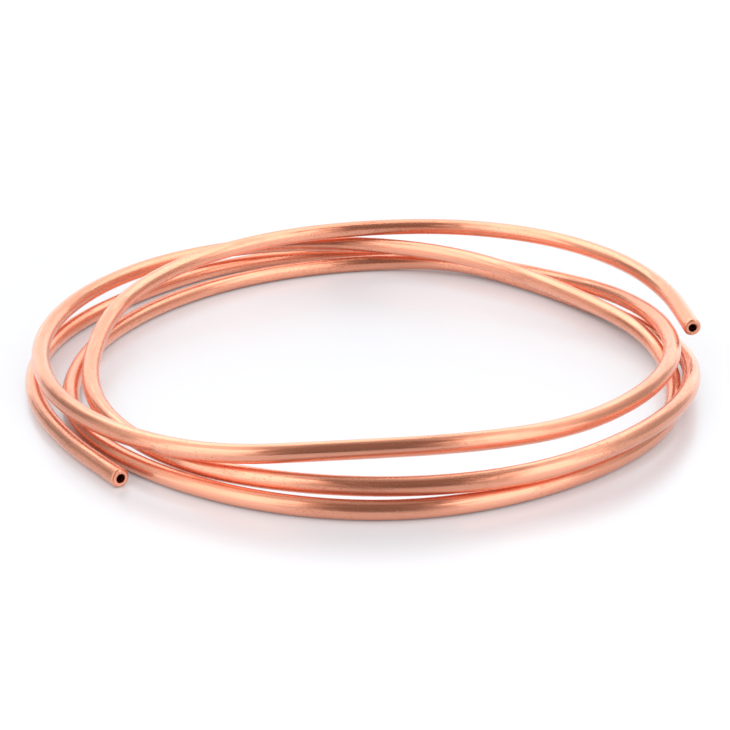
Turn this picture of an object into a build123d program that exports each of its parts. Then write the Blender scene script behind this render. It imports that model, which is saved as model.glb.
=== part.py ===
from build123d import *
import os
from math import radians, tan, pi

# Coil of soft annealed copper tube: one tube, cut square at both ends, wound
# by hand into about 3.6 loose turns that lie on one another. Millimetres,
# +Z up, the coil lies flat on the floor plane z = 0. The origin is on the
# floor under the middle of the coil; the near side of the coil faces -Y.

# ---- driving dimensions ----
outside_diameter = 6.0      # the tube's outside diameter
wall_thickness = 1.0        # so the bore is 4 mm
straight_end = 16.0         # the last stretch at each end, left straight
shoulder_length = 0.8       # a tube cutter rolls the outside edge inward ...
shoulder_radius = 2.35      # ... to this radius at the end face
lip_length = 0.9            # and pushes the bore's edge inward over this length ...
mouth_radius = 1.45         # ... down to this radius at the mouth
arc_share = 0.48            # how much of a run an arc may take at each of its ends

outer_r = outside_diameter / 2
inner_r = outer_r - wall_thickness

# Corner points of the tube's centreline, from the lower end at the front left,
# clockwise seen from above, to the free upper end at the right. The lowest
# pass lies on the floor at z = outer_r.
route = [
    (-73.30, -96.50, 3.00),
    (-93.95, -68.68, 3.00),
    (-109.42, -35.69, 3.00),
    (-114.81, 0.77, 3.00),
    (-107.48, 35.74, 3.00),
    (-86.88, 69.96, 3.00),
    (-61.12, 98.98, 3.00),
    (-28.90, 116.28, 3.00),
    (8.01, 119.20, 3.00),
    (44.09, 107.48, 3.00),
    (73.31, 84.56, 4.46),
    (94.12, 52.98, 9.11),
    (106.06, 16.49, 12.07),
    (105.46, -20.56, 13.36),
    (91.16, -55.49, 13.94),
    (65.11, -84.23, 14.59),
    (32.78, -102.36, 17.36),
    (-7.30, -107.27, 17.14),
    (-43.40, -104.22, 13.91),
    (-74.36, -85.90, 12.27),
    (-98.00, -54.92, 10.63),
    (-110.69, -18.74, 10.07),
    (-112.40, 18.34, 10.28),
    (-101.72, 55.51, 10.21),
    (-79.84, 86.19, 10.19),
    (-47.52, 106.13, 10.39),
    (-10.58, 110.49, 10.28),
    (25.67, 100.19, 10.77),
    (53.68, 80.48, 10.32),
    (84.24, 47.92, 7.47),
    (101.85, 18.92, 5.73),
    (106.49, -18.56, 3.00),
    (98.25, -56.23, 3.00),
    (76.30, -85.89, 3.00),
    (43.90, -109.37, 3.00),
    (9.30, -119.76, 3.00),
    (-28.22, -114.31, 3.00),
    (-61.63, -95.10, 3.00),
    (-87.48, -66.77, 3.00),
    (-99.12, -32.80, 3.00),
    (-98.57, 5.53, 3.00),
    (-87.17, 40.50, 3.00),
    (-65.12, 72.62, 3.00),
    (-35.39, 95.49, 3.00),
    (1.85, 107.76, 3.00),
    (36.75, 103.62, 4.63),
    (66.40, 81.21, 3.00),
    (91.82, 48.26, 3.00),
    (109.82, 15.14, 4.62),
    (112.31, -19.00, 7.30),
    (102.26, -56.16, 10.14),
    (81.44, -86.44, 11.07),
    (51.63, -107.83, 9.84),
    (15.43, -115.37, 8.71),
    (-22.99, -111.01, 8.25),
    (-55.24, -94.13, 6.77),
    (-79.92, -64.79, 6.55),
    (-92.18, -31.85, 7.81),
    (-93.33, 10.46, 10.45),
    (-86.01, 44.15, 12.77),
    (-66.02, 75.14, 15.00),
    (-35.17, 98.17, 16.41),
    (0.25, 109.57, 16.97),
    (37.71, 107.88, 18.11),
    (71.99, 92.21, 18.75),
    (97.51, 64.44, 18.43),
    (109.79, 31.71, 17.74),
    (113.38, -2.82, 16.32),
]


def unit(a, b):
    return (Vector(*b) - Vector(*a)).normalized()


# ---- centreline: short straight runs joined by large tangent arcs ----
radii = []
turns = []
for before, here, after in zip(route, route[1:], route[2:]):
    turn = radians(unit(before, here).get_angle(unit(here, after)))
    shorter = min((Vector(*here) - Vector(*before)).length, (Vector(*after) - Vector(*here)).length)
    turns.append(turn)
    radii.append(arc_share * shorter / tan(turn / 2))

end_a = Vector(*route[0])
end_b = Vector(*route[-1])
inward_a = unit(route[0], route[1])
inward_b = unit(route[-1], route[-2])
swept_route = [end_a + inward_a * straight_end] + [Vector(*p) for p in route[1:-1]] + [end_b + inward_b * straight_end]
centreline = FilletPolyline(*swept_route, radius=radii)

# ---- the wound length: a ring section carried along the centreline ----
ring = Plane(origin=centreline @ 0, z_dir=centreline % 0) * (Circle(outer_r) - Circle(inner_r))
wound = sweep(ring, path=centreline)

# ---- the two ends: straight, cut square, with the edge rolled in by the cutter ----
outline = [
    Line((straight_end, inner_r), (straight_end, outer_r)),
    Line((straight_end, outer_r), (shoulder_length, outer_r)),
    TangentArc((shoulder_length, outer_r), (0, shoulder_radius), tangent=(-1, 0)),
    Line((0, shoulder_radius), (0, mouth_radius)),
    TangentArc((lip_length, inner_r), (0, mouth_radius), tangent=(-1, 0)),
    Line((lip_length, inner_r), (straight_end, inner_r)),
]
cut_end = revolve(make_face(Wire(outline)), axis=Axis.X)


def placed(tip, inward):
    sideways = inward.cross(Vector(0, 0, 1)).normalized()
    return Plane(origin=tip, x_dir=inward, z_dir=sideways) * cut_end


tube = (wound + placed(end_a, inward_a)) + placed(end_b, inward_b)
tube = tube.solids()[0] if len(tube.solids()) == 1 else tube

# ---- report: section times length against the solid's volume ----
length = centreline.length + 2 * straight_end
section = pi * (outer_r**2 - inner_r**2)
box = tube.bounding_box()
print("solids", len(tube.solids()), "faces", len(tube.faces()), "valid", tube.is_valid)
print("tube length %.1f mm, section x length %.0f mm3, volume %.0f mm3" % (length, section * length, tube.volume))
print("arc radii %.0f to %.0f mm" % (min(radii), max(radii)))
print("box", box.min, box.max)

os.makedirs("parts", exist_ok=True)
export_step(tube, "parts/copper_tube.step")
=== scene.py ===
import bpy
import math
import numpy as np
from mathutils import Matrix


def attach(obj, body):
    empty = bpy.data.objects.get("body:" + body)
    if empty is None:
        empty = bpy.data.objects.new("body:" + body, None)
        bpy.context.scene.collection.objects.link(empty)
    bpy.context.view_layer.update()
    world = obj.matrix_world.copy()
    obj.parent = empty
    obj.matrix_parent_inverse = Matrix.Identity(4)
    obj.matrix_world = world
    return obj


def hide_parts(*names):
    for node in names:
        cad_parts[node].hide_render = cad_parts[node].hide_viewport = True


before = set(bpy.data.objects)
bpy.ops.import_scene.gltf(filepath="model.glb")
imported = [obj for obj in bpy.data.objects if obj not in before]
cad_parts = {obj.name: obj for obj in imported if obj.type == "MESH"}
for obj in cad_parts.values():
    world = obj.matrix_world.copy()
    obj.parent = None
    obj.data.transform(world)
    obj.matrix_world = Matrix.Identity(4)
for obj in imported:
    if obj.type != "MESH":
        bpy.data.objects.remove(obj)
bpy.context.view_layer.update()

# A loose coil of bare soft copper tube on a pale floor. The coil is one tube,
# rebuilt here as a fine mesh on the same centreline as the CAD tube.

# ---------------------------------------------------------------- sizes, millimetres
OUTER_R = 3.0
INNER_R = 2.0
SHOULDER_LENGTH, SHOULDER_R = 0.8, 2.35   # outside edge rolled in by the cutter
LIP_LENGTH, MOUTH_R = 0.9, 1.45           # bore's edge pushed in by the cutter
SIDES = 40
OUTER_STEP, INNER_STEP = 1.9, 4.0         # ring spacing outside and in the bore

# Corner points of the centreline, as in the CAD source, lower end first.
ROUTE = [
    (-73.30, -96.50, 3.00),
    (-93.95, -68.68, 3.00),
    (-109.42, -35.69, 3.00),
    (-114.81, 0.77, 3.00),
    (-107.48, 35.74, 3.00),
    (-86.88, 69.96, 3.00),
    (-61.12, 98.98, 3.00),
    (-28.90, 116.28, 3.00),
    (8.01, 119.20, 3.00),
    (44.09, 107.48, 3.00),
    (73.31, 84.56, 4.46),
    (94.12, 52.98, 9.11),
    (106.06, 16.49, 12.07),
    (105.46, -20.56, 13.36),
    (91.16, -55.49, 13.94),
    (65.11, -84.23, 14.59),
    (32.78, -102.36, 17.36),
    (-7.30, -107.27, 17.14),
    (-43.40, -104.22, 13.91),
    (-74.36, -85.90, 12.27),
    (-98.00, -54.92, 10.63),
    (-110.69, -18.74, 10.07),
    (-112.40, 18.34, 10.28),
    (-101.72, 55.51, 10.21),
    (-79.84, 86.19, 10.19),
    (-47.52, 106.13, 10.39),
    (-10.58, 110.49, 10.28),
    (25.67, 100.19, 10.77),
    (53.68, 80.48, 10.32),
    (84.24, 47.92, 7.47),
    (101.85, 18.92, 5.73),
    (106.49, -18.56, 3.00),
    (98.25, -56.23, 3.00),
    (76.30, -85.89, 3.00),
    (43.90, -109.37, 3.00),
    (9.30, -119.76, 3.00),
    (-28.22, -114.31, 3.00),
    (-61.63, -95.10, 3.00),
    (-87.48, -66.77, 3.00),
    (-99.12, -32.80, 3.00),
    (-98.57, 5.53, 3.00),
    (-87.17, 40.50, 3.00),
    (-65.12, 72.62, 3.00),
    (-35.39, 95.49, 3.00),
    (1.85, 107.76, 3.00),
    (36.75, 103.62, 4.63),
    (66.40, 81.21, 3.00),
    (91.82, 48.26, 3.00),
    (109.82, 15.14, 4.62),
    (112.31, -19.00, 7.30),
    (102.26, -56.16, 10.14),
    (81.44, -86.44, 11.07),
    (51.63, -107.83, 9.84),
    (15.43, -115.37, 8.71),
    (-22.99, -111.01, 8.25),
    (-55.24, -94.13, 6.77),
    (-79.92, -64.79, 6.55),
    (-92.18, -31.85, 7.81),
    (-93.33, 10.46, 10.45),
    (-86.01, 44.15, 12.77),
    (-66.02, 75.14, 15.00),
    (-35.17, 98.17, 16.41),
    (0.25, 109.57, 16.97),
    (37.71, 107.88, 18.11),
    (71.99, 92.21, 18.75),
    (97.51, 64.44, 18.43),
    (109.79, 31.71, 17.74),
    (113.38, -2.82, 16.32),
]


# ---------------------------------------------------------------- camera
cam_data = bpy.data.cameras.new("camera")
cam = bpy.data.objects.new("camera", cam_data)
bpy.context.scene.collection.objects.link(cam)
cam.location = (0.00038, -0.61806, 0.24783)
cam.rotation_euler = (math.radians(90.0 - 21.736), 0.0, 0.0)
cam_data.sensor_width = 36.0
cam_data.lens = 93.988
cam_data.clip_start, cam_data.clip_end = 0.01, 50.0
bpy.context.scene.camera = cam


# ---------------------------------------------------------------- centreline
def centreline():
    """A smooth NURBS curve over the route, read back as closely spaced points in millimetres."""
    pts = [np.array(p) for p in ROUTE]
    # a second control point just inside each tip keeps the tube's last stretch straight
    near = pts[0] + (pts[1] - pts[0]) * 0.06
    far = pts[-1] + (pts[-2] - pts[-1]) * 0.06
    pts = [pts[0], near] + pts[1:-1] + [far, pts[-1]]
    data = bpy.data.curves.new("centreline", "CURVE")
    data.dimensions = "3D"
    sp = data.splines.new("NURBS")
    sp.points.add(len(pts) - 1)
    for q, p in zip(sp.points, pts):
        q.co = (*p, 1.0)
    sp.order_u = 3
    sp.use_endpoint_u = True
    sp.resolution_u = 32
    ob = bpy.data.objects.new("centreline", data)
    bpy.context.scene.collection.objects.link(ob)
    line = bpy.data.meshes.new_from_object(ob)
    out = np.array([v.co[:] for v in line.vertices])
    bpy.data.meshes.remove(line)
    bpy.data.objects.remove(ob)
    bpy.data.curves.remove(data)
    return out


path = centreline()
step = np.linalg.norm(np.diff(path, axis=0), axis=1)
keep = np.concatenate([[True], step > 1e-6])
path = path[keep]
along = np.concatenate([[0.0], np.cumsum(np.linalg.norm(np.diff(path, axis=0), axis=1))])
LENGTH = along[-1]


def at(s):
    return np.stack([np.interp(s, along, path[:, k]) for k in range(3)], -1)


def frames(s):
    """Points, tangents and two steady cross directions (parallel transport) at distances s along the tube."""
    p = at(s)
    t = at(np.minimum(s + 0.5, LENGTH)) - at(np.maximum(s - 0.5, 0.0))
    t /= np.linalg.norm(t, axis=1)[:, None]
    n = np.empty_like(t)
    up = np.array([0.0, 0.0, 1.0])
    n[0] = up - t[0] * (up @ t[0])
    n[0] /= np.linalg.norm(n[0])
    for k in range(1, len(t)):
        v = n[k - 1] - t[k] * (n[k - 1] @ t[k])
        n[k] = v / np.linalg.norm(v)
    return p, t, n, np.cross(t, n)


# ---------------------------------------------------------------- tube mesh
def arc_profile(x0, r0, x1, r1, count):
    """Points of a circular arc from (x0, r0), leaving it along the axis, to (x1, r1)."""
    dx, dr = abs(x1 - x0), r1 - r0
    radius = (dx * dx + dr * dr) / (2 * abs(dr))
    full = math.asin(min(1.0, dx / radius))
    if radius < abs(dr):
        full = math.pi - full
    out = []
    for i in range(count + 1):
        a = full * i / count
        x = x0 + math.copysign(radius * math.sin(a), x1 - x0)
        r = r0 + math.copysign(radius * (1 - math.cos(a)), dr)
        out.append((x, r))
    return out


# distance-from-the-tip and radius of each ring, from the straight outside wall round to the bore
tip_outside = arc_profile(SHOULDER_LENGTH, OUTER_R, 0.0, SHOULDER_R, 9)
tip_inside = arc_profile(LIP_LENGTH, INNER_R, 0.0, MOUTH_R, 8)
face = [(0.0, SHOULDER_R + (MOUTH_R - SHOULDER_R) * k / 4) for k in (1, 2, 3)]
n_out = int(round((LENGTH - 2 * SHOULDER_LENGTH) / OUTER_STEP))
n_in = int(round((LENGTH - 2 * LIP_LENGTH) / INNER_STEP))
body_out = np.linspace(SHOULDER_LENGTH, LENGTH - SHOULDER_LENGTH, n_out + 1)[1:-1]
body_in = np.linspace(LENGTH - LIP_LENGTH, LIP_LENGTH, n_in + 1)[1:-1]

stations = []                                                     # (distance along the tube, radius)
stations += [(x, r) for x, r in reversed(tip_outside)]            # tip A: face edge to outside wall
stations += [(s, OUTER_R) for s in body_out]
stations += [(LENGTH - x, r) for x, r in tip_outside]             # outside wall to tip B's face edge
stations += [(LENGTH - x, r) for x, r in face]
stations += [(LENGTH - x, r) for x, r in reversed(tip_inside)]    # tip B's mouth into the bore
stations += [(s, INNER_R) for s in body_in]
stations += [(x, r) for x, r in tip_inside]                       # bore to tip A's mouth
stations += [(x, r) for x, r in reversed(face)]
S = np.array([a for a, b in stations])
RAD = np.array([b for a, b in stations])

order = np.argsort(S, kind="stable")
P = np.empty((len(S), 3)); N = P.copy(); B = P.copy()
p_, t_, n_, b_ = frames(S[order])
P[order], N[order], B[order] = p_, n_, b_

angle = np.arange(SIDES) / SIDES * 2 * math.pi
ring = np.cos(angle)[None, :, None] * N[:, None, :] + np.sin(angle)[None, :, None] * B[:, None, :]
verts = (P[:, None, :] + ring * RAD[:, None, None]).reshape(-1, 3)
verts[:, 2] = np.maximum(verts[:, 2], 0.0)
spot = np.stack([
    np.broadcast_to(np.cos(angle) * OUTER_R, (len(S), SIDES)),
    np.broadcast_to(np.sin(angle) * OUTER_R, (len(S), SIDES)),
    np.broadcast_to(S[:, None], (len(S), SIDES)),
], -1).reshape(-1, 3)

rings = len(S)
i = np.arange(rings)[:, None]
j = np.arange(SIDES)[None, :]
i2, j2 = (i + 1) % rings, (j + 1) % SIDES
quads = np.stack([i * SIDES + j, i * SIDES + j2, i2 * SIDES + j2, i2 * SIDES + j], -1).reshape(-1, 4)

mesh = bpy.data.meshes.new("tube_surface")
mesh.from_pydata((verts / 1000.0).tolist(), [], quads.tolist())
mesh.validate()
mesh.update()
mesh.polygons.foreach_set("use_smooth", np.ones(len(mesh.polygons), bool))
a = mesh.attributes.new("tube_place", "FLOAT_VECTOR", "POINT")    # millimetres: round the tube, and along it
a.data.foreach_set("vector", spot.astype(np.float32).ravel())
depth = np.zeros(rings)
inside = RAD < MOUTH_R + 1e-6
k_in = np.arange(rings) >= len(tip_outside) * 2 + len(body_out) + len(face)
bore = np.where(k_in, np.minimum(S, LENGTH - S), 0.0)             # how deep in the bore a ring is
d = mesh.attributes.new("bore_depth", "FLOAT", "POINT")
d.data.foreach_set("value", np.repeat(bore, SIDES).astype(np.float32))
across = (-np.sin(angle)[None, :, None] * N[:, None, :] + np.cos(angle)[None, :, None] * B[:, None, :]).reshape(-1, 3)
c = mesh.attributes.new("tube_round", "FLOAT_VECTOR", "POINT")    # the direction round the tube
c.data.foreach_set("vector", across.astype(np.float32).ravel())
T = np.empty_like(P)
T[order] = t_
c = mesh.attributes.new("tube_along", "FLOAT_VECTOR", "POINT")    # the direction along the tube
c.data.foreach_set("vector", np.repeat(T, SIDES, axis=0).astype(np.float32).ravel())
tube = bpy.data.objects.new("tube_surface", mesh)
bpy.context.scene.collection.objects.link(tube)

# faces point outward
mesh.calc_loop_triangles()
tri = np.array([t.vertices[:] for t in mesh.loop_triangles])
v = verts[tri]
if np.einsum("ij,ij->i", v[:, 0], np.cross(v[:, 1], v[:, 2])).sum() < 0:
    mesh.flip_normals()

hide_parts("copper_tube")
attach(tube, "root")


# ---------------------------------------------------------------- node helpers
class Nodes:
    """Short names for building a node tree."""

    def __init__(self, tree):
        self.tree = tree
        tree.nodes.clear()

    def add(self, kind, **settings):
        n = self.tree.nodes.new(kind)
        for k, val in settings.items():
            setattr(n, k, val)
        return n

    def link(self, a, b):
        self.tree.links.new(a, b)

    def put(self, value, socket):
        if isinstance(value, (int, float, tuple)):
            socket.default_value = value
        else:
            self.link(value, socket)

    def math(self, op, a, b=0.0, c=0.0, clamp=False):
        n = self.add("ShaderNodeMath", operation=op, use_clamp=clamp)
        for s, val in zip(n.inputs, (a, b, c)):
            self.put(val, s)
        return n.outputs[0]

    def ramp(self, x, lo, hi, out_lo=0.0, out_hi=1.0, smooth=True):
        n = self.add("ShaderNodeMapRange", interpolation_type="SMOOTHSTEP" if smooth else "LINEAR")
        n.clamp = True
        for s, val in zip(n.inputs, (x, lo, hi, out_lo, out_hi)):
            self.put(val, s)
        return n.outputs[0]

    def mix(self, f, a, b, blend="MIX"):
        n = self.add("ShaderNodeMix", data_type="RGBA", blend_type=blend)
        self.put(f, n.inputs["Factor"])
        col = [s for s in n.inputs if s.type == "RGBA"]
        self.put(a, col[0])
        self.put(b, col[1])
        return [s for s in n.outputs if s.type == "RGBA"][0]

    def noise(self, vector, scale, detail=2.0, rough=0.5, distortion=0.0):
        n = self.add("ShaderNodeTexNoise", noise_dimensions="3D")
        self.link(vector, n.inputs["Vector"])
        n.inputs["Scale"].default_value = scale
        n.inputs["Detail"].default_value = detail
        n.inputs["Roughness"].default_value = rough
        n.inputs["Distortion"].default_value = distortion
        return n.outputs["Fac"]

    def stretch(self, vector, scale, shift=(0.0, 0.0, 0.0)):
        n = self.add("ShaderNodeMapping")
        self.link(vector, n.inputs["Vector"])
        n.inputs["Scale"].default_value = scale
        n.inputs["Location"].default_value = shift
        return n.outputs["Vector"]


# ---------------------------------------------------------------- copper
mat = bpy.data.materials.new("copper")
mat.use_nodes = True
g = Nodes(mat.node_tree)
out = g.add("ShaderNodeOutputMaterial")
bsdf = g.add("ShaderNodeBsdfPrincipled")
g.link(bsdf.outputs[0], out.inputs["Surface"])
place = g.add("ShaderNodeAttribute", attribute_type="GEOMETRY", attribute_name="tube_place").outputs["Vector"]



def world_direction(name):
    """A direction stored on the mesh, turned with the piece."""
    turn = g.add("ShaderNodeVectorTransform", vector_type="VECTOR", convert_from="OBJECT", convert_to="WORLD")
    g.link(g.add("ShaderNodeAttribute", attribute_type="GEOMETRY", attribute_name=name).outputs["Vector"], turn.inputs[0])
    return turn.outputs[0]


def lean(normal, direction, amount):
    """The normal leaned along a direction by a small amount (0.01 is about half a degree)."""
    by = g.add("ShaderNodeVectorMath", operation="SCALE")
    g.link(direction, by.inputs[0])
    g.link(amount, by.inputs["Scale"])
    total = g.add("ShaderNodeVectorMath", operation="ADD")
    g.link(normal, total.inputs[0])
    g.link(by.outputs[0], total.inputs[1])
    return total.outputs[0]


long_lines = g.noise(g.stretch(place, (5.0, 5.0, 0.018)), 1.0, 3.0, 0.62)       # fine drawing lines, tens of mm long
broad_lines = g.noise(g.stretch(place, (1.3, 1.3, 0.010), (7.1, 2.3, 5.5)), 1.0, 2.0, 0.5)
wander = g.noise(g.stretch(place, (2.6, 2.6, 0.10), (2.0, 5.0, 3.0)), 1.0, 3.0, 0.6)       # each line's own slight tilt
waves = g.noise(g.stretch(place, (0.25, 0.25, 0.09), (1.0, 6.0, 2.0)), 1.0, 2.0, 0.5)      # hand-bent unevenness
cloud = g.noise(g.stretch(place, (0.16, 0.16, 0.022), (3.0, 9.0, 1.0)), 1.0, 3.0, 0.55)   # slow change of tone
speck = g.noise(g.stretch(place, (1.9, 1.9, 0.9), (4.0, 4.0, 2.0)), 1.0, 4.0, 0.7)
where = g.noise(g.stretch(place, (0.09, 0.09, 0.03), (8.0, 1.0, 3.0)), 1.0, 1.0, 0.5)

bright = (0.950, 0.425, 0.280, 1.0)
rosy = (0.913, 0.381, 0.241, 1.0)
brown = (0.462, 0.168, 0.098, 1.0)
tone = g.mix(g.ramp(cloud, 0.35, 0.68), bright, rosy)
tone = g.mix(g.math("MULTIPLY", g.ramp(long_lines, 0.52, 0.75), 0.26), tone, brown)
stain = g.math("MULTIPLY", g.ramp(speck, 0.53, 0.68), g.ramp(where, 0.46, 0.60))
patina = g.noise(g.stretch(place, (0.30, 0.30, 0.045), (11.0, 4.0, 7.0)), 1.0, 5.0, 0.68)      # handled, slightly dulled places
tone = g.mix(g.math("MULTIPLY", stain, 0.50), tone, brown)
tone = g.mix(g.math("MULTIPLY", g.ramp(patina, 0.52, 0.72), 0.30), tone, brown)
g.link(tone, bsdf.inputs["Base Color"])
bsdf.inputs["Metallic"].default_value = 0.9                                              # a trace of dull film on the metal
rough = g.math("ADD", g.ramp(long_lines, 0.3, 0.7, 0.19, 0.27, smooth=False), g.math("MULTIPLY", stain, 0.16))
rough = g.math("ADD", rough, g.ramp(cloud, 0.3, 0.7, -0.02, 0.03, smooth=False))
rough = g.math("ADD", rough, g.ramp(patina, 0.50, 0.72, 0.0, 0.12))
g.link(rough, bsdf.inputs["Roughness"])
bsdf.inputs["Anisotropic"].default_value = 0.80
bsdf.inputs["Coat Weight"].default_value = 0.3                                          # thin film of drawing oil
bsdf.inputs["Coat Roughness"].default_value = 0.22
g.link(world_direction("tube_round"), bsdf.inputs["Tangent"])
normal = g.add("ShaderNodeNewGeometry").outputs["Normal"]
normal = lean(normal, world_direction("tube_round"), g.ramp(long_lines, 0.2, 0.8, -0.10, 0.10, smooth=False))
normal = lean(normal, world_direction("tube_round"), g.ramp(broad_lines, 0.2, 0.8, -0.09, 0.09, smooth=False))
normal = lean(normal, world_direction("tube_along"), g.ramp(wander, 0.2, 0.8, -0.07, 0.07, smooth=False))
normal = lean(normal, world_direction("tube_along"), g.ramp(waves, 0.2, 0.8, -0.035, 0.035, smooth=False))
unit = g.add("ShaderNodeVectorMath", operation="NORMALIZE")
g.link(normal, unit.inputs[0])
g.link(unit.outputs[0], bsdf.inputs["Normal"])
mesh.materials.append(mat)


# ---------------------------------------------------------------- floor
bpy.ops.mesh.primitive_plane_add(size=12.0, location=(0.0, 0.0, 0.0))
floor = bpy.context.object
floor.name = "floor"
fm = bpy.data.materials.new("floor")
fm.use_nodes = True
fb = fm.node_tree.nodes["Principled BSDF"]
fb.inputs["Base Color"].default_value = (0.378, 0.395, 0.432, 1.0)
fb.inputs["Roughness"].default_value = 0.32
fb.inputs["IOR"].default_value = 2.8
fb.inputs["Specular Tint"].default_value = (0.88, 0.93, 1.0, 1.0)
fb.inputs["Emission Color"].default_value = (0.965, 0.975, 1.0, 1.0)     # a white table lit from below
fb.inputs["Emission Strength"].default_value = 0.42
floor_painted_shade_ao = fm.node_tree.nodes.new("ShaderNodeAmbientOcclusion")           # painted shade: the floor's glow fades in narrow gaps beside and under the tube, so they stay dark
floor_painted_shade_ao.samples = 3
floor_painted_shade_ao.inputs["Distance"].default_value = 0.010
# painted shade: the glow strength falls from 0.42 in the open to 0.03 where the tube closes the floor in
glow_dimmed_by_painted_shade = fm.node_tree.nodes.new("ShaderNodeMapRange")
for name, value in (("From Min", 0.10), ("From Max", 0.38), ("To Min", 0.03), ("To Max", 0.42)):
    glow_dimmed_by_painted_shade.inputs[name].default_value = value
fm.node_tree.links.new(floor_painted_shade_ao.outputs["AO"], glow_dimmed_by_painted_shade.inputs["Value"])
fm.node_tree.links.new(glow_dimmed_by_painted_shade.outputs[0], fb.inputs["Emission Strength"])
floor.data.materials.append(fm)


# ---------------------------------------------------------------- studio light
# The surroundings as the bright tube reflects them: two large soft boxes at the
# front left and front right, a white sweep behind, a pale ceiling, and darker room
# between the boxes and at both sides.
world = bpy.data.worlds.new("studio")
bpy.context.scene.world = world
world.use_nodes = True
w = Nodes(world.node_tree)
w_out = w.add("ShaderNodeOutputWorld")
back = w.add("ShaderNodeBackground")
w.link(back.outputs[0], w_out.inputs["Surface"])
direction = w.add("ShaderNodeTexCoord").outputs["Generated"]
sep = w.add("ShaderNodeSeparateXYZ")
w.link(direction, sep.inputs[0])
X, Y, Z = sep.outputs
az = w.math("MULTIPLY", w.math("ARCTAN2", X, w.math("MULTIPLY", Y, -1.0)), 180 / math.pi)   # 0 in front, +90 right
el = w.math("MULTIPLY", w.math("ARCSINE", w.math("MAXIMUM", w.math("MINIMUM", Z, 1.0), -1.0)), 180 / math.pi)


def around(a0):
    """Unsigned azimuth distance from a0, degrees."""
    dlt = w.math("ABSOLUTE", w.math("SUBTRACT", az, a0))
    return w.math("MINIMUM", dlt, w.math("SUBTRACT", 360.0, dlt))


def patch(a0, half_az, el0, half_el, soft_az, soft_el):
    """1 inside a soft-edged window of directions, 0 outside."""
    fa = w.ramp(around(a0), half_az - soft_az, half_az + soft_az, 1.0, 0.0)
    fe = w.ramp(w.math("ABSOLUTE", w.math("SUBTRACT", el, el0)), half_el - soft_el, half_el + soft_el, 1.0, 0.0)
    return w.math("MULTIPLY", fa, fe)


side = w.math("MULTIPLY", w.math("ARCSINE", w.math("MAXIMUM", w.math("MINIMUM", X, 1.0), -1.0)), 180 / math.pi)   # tilt to the right


def times(level, where, drop):
    """The level, less the given share inside a window."""
    return w.math("MULTIPLY", level, w.math("SUBTRACT", 1.0, w.math("MULTIPLY", where, drop)))


def plus(level, where, gain):
    return w.math("ADD", level, w.math("MULTIPLY", where, gain))


level = w.ramp(el, 20.0, 50.0, 0.72, 1.22)                                              # walls, paler upward
level = times(level, w.ramp(el, 58.0, 88.0), 0.42)                                      # ceiling
level = plus(level, patch(180.0, 42.0, 4.0, 24.0, 6.0, 12.0), 0.78)                     # white sweep behind
level = plus(level, patch(158.0, 14.0, 10.0, 16.0, 6.0, 8.0), 0.18)                     # brighter at its right
level = times(level, patch(116.0, 20.0, 10.0, 28.0, 8.0, 10.0), 0.30)                   # darker at the back right
level = plus(level, patch(-165.0, 28.0, 46.0, 16.0, 10.0, 10.0), 0.28)
level = times(level, patch(-121.0, 15.0, 10.0, 24.0, 7.0, 8.0), 0.58)                   # dark at the back left
level = plus(level, patch(59.0, 21.0, 18.0, 38.0, 7.0, 10.0), 1.25)                     # right soft box
level = plus(level, patch(-56.0, 22.0, 22.0, 36.0, 7.0, 12.0), 1.18)                    # left soft box
gap = w.math("MULTIPLY", w.ramp(side, 14.0, 35.0, 1.0, 0.0), w.ramp(side, -27.0, -10.0))
gap = w.math("MULTIPLY", gap, w.ramp(Y, -0.12, 0.22, 1.0, 0.0))
beyond = w.math("MULTIPLY", w.ramp(side, 8.0, 30.0, 1.0, 0.0), w.ramp(side, -22.0, -6.0))
beyond = w.math("MULTIPLY", beyond, w.math("MULTIPLY", w.ramp(Y, 0.05, 0.25), w.ramp(Y, 0.55, 0.92, 1.0, 0.0)))
w.link(level, back.inputs["Strength"])
cool = (0.924, 0.913, 0.889, 1.0)
warm = (1.296, 0.913, 0.762, 1.0)
w.link(w.mix(gap, cool, warm), back.inputs["Color"])
level = times(level, beyond, 0.46)
level = times(level, gap, 0.86)                                                         # dark room between the boxes
w.link(level, back.inputs["Strength"])

bpy.context.scene.view_settings.view_transform = "Standard"

bpy.context.view_layer.update()
# ---- a long soft lamp hung over the far side ----
strip = bpy.data.lights.new("studio_strip", "AREA")
strip.shape = "RECTANGLE"
strip.size, strip.size_y = 0.56, 0.24
strip.energy = 0.50
strip.color = (1.0, 0.97, 0.93)
strip_at = bpy.data.objects.new("studio_strip", strip)
strip_at.location = (0.0, 0.21, 0.27)
strip_at.rotation_euler = (-0.35, 0.0, 0.0)
strip_at.visible_diffuse = False
strip_at.visible_camera = False
bpy.context.scene.collection.objects.link(strip_at)
